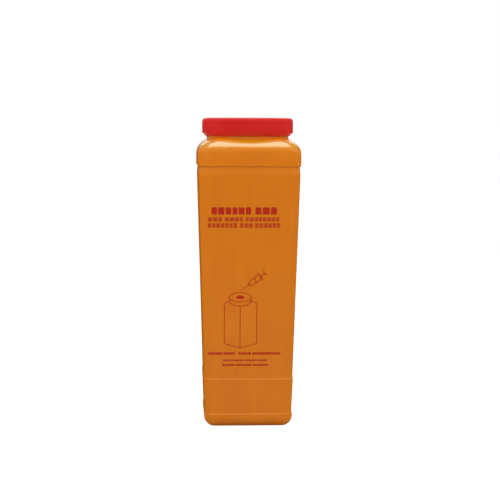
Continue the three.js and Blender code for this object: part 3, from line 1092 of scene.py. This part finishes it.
def seal_material():
    """Matt black elastomer with a little talc bloom."""
    s = Shader("seal_rubber")
    bloom = s.noise(300, detail=5)
    colour = s.mix(s.spread(bloom, 0.4, 0.75), linear(26, 26, 27), linear(62, 62, 62))
    roughness = s.spread(bloom, 0.3, 0.7, 0.6, 0.8)
    return s.finish(Base_Color=colour, Roughness=roughness, Normal=s.bump(bloom, 0.00003))


def add_wear(piece):
    """A 0 to 1 value per point that is high on outward edges, where handling rubs."""
    worn_curvature = 400
    mesh = piece.data
    grid = bmesh.new()
    grid.from_mesh(mesh)
    layer = [0.0] * len(grid.verts)
    for vert in grid.verts:
        bend = [edge.calc_face_angle_signed(0.0) for edge in vert.link_edges]
        length = sum(edge.calc_length() for edge in vert.link_edges) / max(len(vert.link_edges), 1)
        curvature = max(bend, default=0.0) / max(length, 1e-5)
        layer[vert.index] = float(np.clip(curvature / worn_curvature, 0, 1))
    grid.free()
    attribute = mesh.attributes.new("wear", "FLOAT", "POINT")
    attribute.data.foreach_set("value", np.array(layer, np.float32))


# ---------- Studio ----------

FLOOR_SIZE = 60
FLOOR_PALE = 0.68
FLOOR_MIRRORED = 0.025
SEEN_WHITE = 1.2
SEEN_SHARE = 0.82
SKY_LIGHT = 0.18


def add_floor():
    """A plain pale floor, lit to white where the camera sees it and nearly black in reflections."""
    material = bpy.data.materials.new("floor")
    material.use_nodes = True
    tree = material.node_tree
    tree.nodes.clear()
    path = tree.nodes.new("ShaderNodeLightPath")

    def switched(ray, otherwise, when_it_is):
        """One value for rays of a kind, and another for all the rest."""
        level = tree.nodes.new("ShaderNodeMapRange")
        level.inputs["To Min"].default_value = otherwise
        level.inputs["To Max"].default_value = when_it_is
        tree.links.new(path.outputs[ray], level.inputs["Value"])
        return level.outputs[0]

    diffuse = tree.nodes.new("ShaderNodeBsdfDiffuse")
    tree.links.new(switched("Is Glossy Ray", FLOOR_PALE, FLOOR_MIRRORED), diffuse.inputs["Color"])
    glow = tree.nodes.new("ShaderNodeEmission")
    glow.inputs["Strength"].default_value = SEEN_WHITE
    mix = tree.nodes.new("ShaderNodeMixShader")
    tree.links.new(switched("Is Camera Ray", 0, SEEN_SHARE), mix.inputs[0])
    tree.links.new(diffuse.outputs[0], mix.inputs[1])
    tree.links.new(glow.outputs[0], mix.inputs[2])
    output = tree.nodes.new("ShaderNodeOutputMaterial")
    tree.links.new(mix.outputs[0], output.inputs["Surface"])
    mesh = bpy.data.meshes.new("floor")
    corners = ((-1, -1), (1, -1), (1, 1), (-1, 1))
    mesh.from_pydata([(x * FLOOR_SIZE, y * FLOOR_SIZE, 0) for x, y in corners], [], [(0, 1, 2, 3)])
    floor = bpy.data.objects.new("floor", mesh)
    bpy.context.scene.collection.objects.link(floor)
    mesh.materials.append(material)


def add_softbox(name, place, aim, size, radiance, mirrored=True, fills=True):
    """A rectangular softbox of the given radiance, facing `aim`.

    Without `mirrored` it has no reflection, and without `fills` it is only seen as a reflection.
    """
    light = bpy.data.lights.new(name, "AREA")
    light.shape = "RECTANGLE"
    light.size, light.size_y = size
    light.energy = radiance * math.pi * size[0] * size[1]
    lamp = bpy.data.objects.new(name, light)
    bpy.context.scene.collection.objects.link(lamp)
    lamp.location = place
    lamp.visible_glossy = mirrored
    lamp.visible_diffuse = fills
    lamp.rotation_euler = (Vector(aim) - Vector(place)).to_track_quat("-Z", "Y").to_euler()


def add_world():
    """White to the camera, and a dim grey to everything that it lights."""
    world = bpy.data.worlds.new("studio")
    bpy.context.scene.world = world
    world.use_nodes = True
    tree = world.node_tree
    background = tree.nodes["Background"]
    seen = tree.nodes.new("ShaderNodeLightPath").outputs["Is Camera Ray"]
    level = tree.nodes.new("ShaderNodeMapRange")
    tree.links.new(seen, level.inputs["Value"])
    level.inputs["To Min"].default_value = SKY_LIGHT
    level.inputs["To Max"].default_value = 1.0
    tree.links.new(level.outputs[0], background.inputs["Strength"])
    background.inputs["Color"].default_value = (1, 1, 1, 1)


def add_studio():
    """White surroundings, a glint and fill from overhead, and lamps in front, beside and behind."""
    add_world()
    add_floor()
    middle = (0, 0, 0.2)
    add_softbox("overhead_glint", (0, -0.1, 1.65), (0, 0, 0.35), (0.8, 1.1), 4, fills=False)
    add_softbox("overhead", (0, -0.2, 1.65), (0, 0, 0.35), (1.4, 0.8), 0.9, mirrored=False)
    add_softbox("front_left", (-1.5, -1.2, 1.4), middle, (1.4, 1.1), 4.55, mirrored=False)
    add_softbox("front_right", (1.5, -1.2, 1.4), middle, (1.4, 1.1), 4.55, mirrored=False)
    add_softbox("side_left", (-1.6, 0.4, 1.6), middle, (1.6, 1.2), 2.1, mirrored=False)
    add_softbox("side_right", (1.6, 0.4, 1.6), middle, (1.6, 1.2), 2.1, mirrored=False)
    add_softbox("back", (0, 1.7, 1.2), middle, (1.6, 1), 1.8)


def add_camera():
    """A long lens level with the cap, three degrees round to the left of the front."""
    focal_length = 103.6
    distance, height = 1.812, 0.3724
    round_left = math.radians(3)
    tilt = math.radians(-0.27)
    aim = Vector((0.0038, 0, 0.2158))
    data = bpy.data.cameras.new("camera")
    data.lens = focal_length
    data.clip_end = 200
    camera = bpy.data.objects.new("camera", data)
    bpy.context.scene.collection.objects.link(camera)
    camera.location = (-distance * math.sin(round_left), -distance * math.cos(round_left), height)
    look = (aim - camera.location).to_track_quat("-Z", "Y")
    line_of_sight = Vector((0, 0, -1))
    camera.rotation_mode = "QUATERNION"
    camera.rotation_quaternion = look @ Quaternion(line_of_sight, tilt)
    bpy.context.scene.camera = camera


# ---------- Putting it together ----------

WORN = ("jar_hdpe", "cap_pp", "band_pp_painted_bounce")


def finish_piece(piece, material, body, node=None):
    """Gives a piece its material and its body, and hides the CAD node that it stands for."""
    piece.data.materials.clear()
    piece.data.materials.append(material)
    if material.name in WORN:
        add_wear(piece)
    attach(piece, body)
    if node:
        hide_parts(node)


bpy.context.scene.view_settings.view_transform = "Standard"
add_camera()
add_studio()

hdpe = jar_material()
# The cap's red, with painted bounce light on its lower edge.
red = red_material("cap_pp", linear(206, 30, 28), linear(216, 36, 32), painted_bounce=linear(246, 48, 42))
# A brighter copy of the cap's red for the tamper ring: painted bounce light on its downward-facing
# cone.
band_red_painted_bounce = red_material("band_pp_painted_bounce", linear(232, 58, 36), linear(240, 66, 40))
bold_ink = ink_material("ink_bold", linear(180, 34, 4), linear(198, 50, 8))
fine_ink = ink_material("ink_fine", linear(186, 58, 6), linear(204, 76, 10))

finish_piece(make_jar(), hdpe, "jar", "jar_body")
finish_piece(make_band(), band_red_painted_bounce, "jar", "tamper_band")
finish_piece(make_liner(), foam_material(), "liner", "cap_liner")
finish_piece(make_cap(), red, "cap", "screw_cap")
finish_piece(make_pin(), pin_material(), "cap", "flap_hinge_pin")
finish_piece(make_flap(), red, "flap", "aperture_flap")
finish_piece(make_seal(), seal_material(), "flap", "flap_seal")

finish_piece(make_blocks("print_heading", HEADING), bold_ink, "jar")
finish_piece(make_blocks("print_sublines", SUBLINES), fine_ink, "jar")
finish_piece(make_blocks("print_notes", NOTES), bold_ink, "jar")
finish_piece(make_box_drawing(), fine_ink, "jar")
finish_piece(make_syringe_drawing(), fine_ink, "jar")
finish_piece(make_hole_drawing(), bold_ink, "jar")
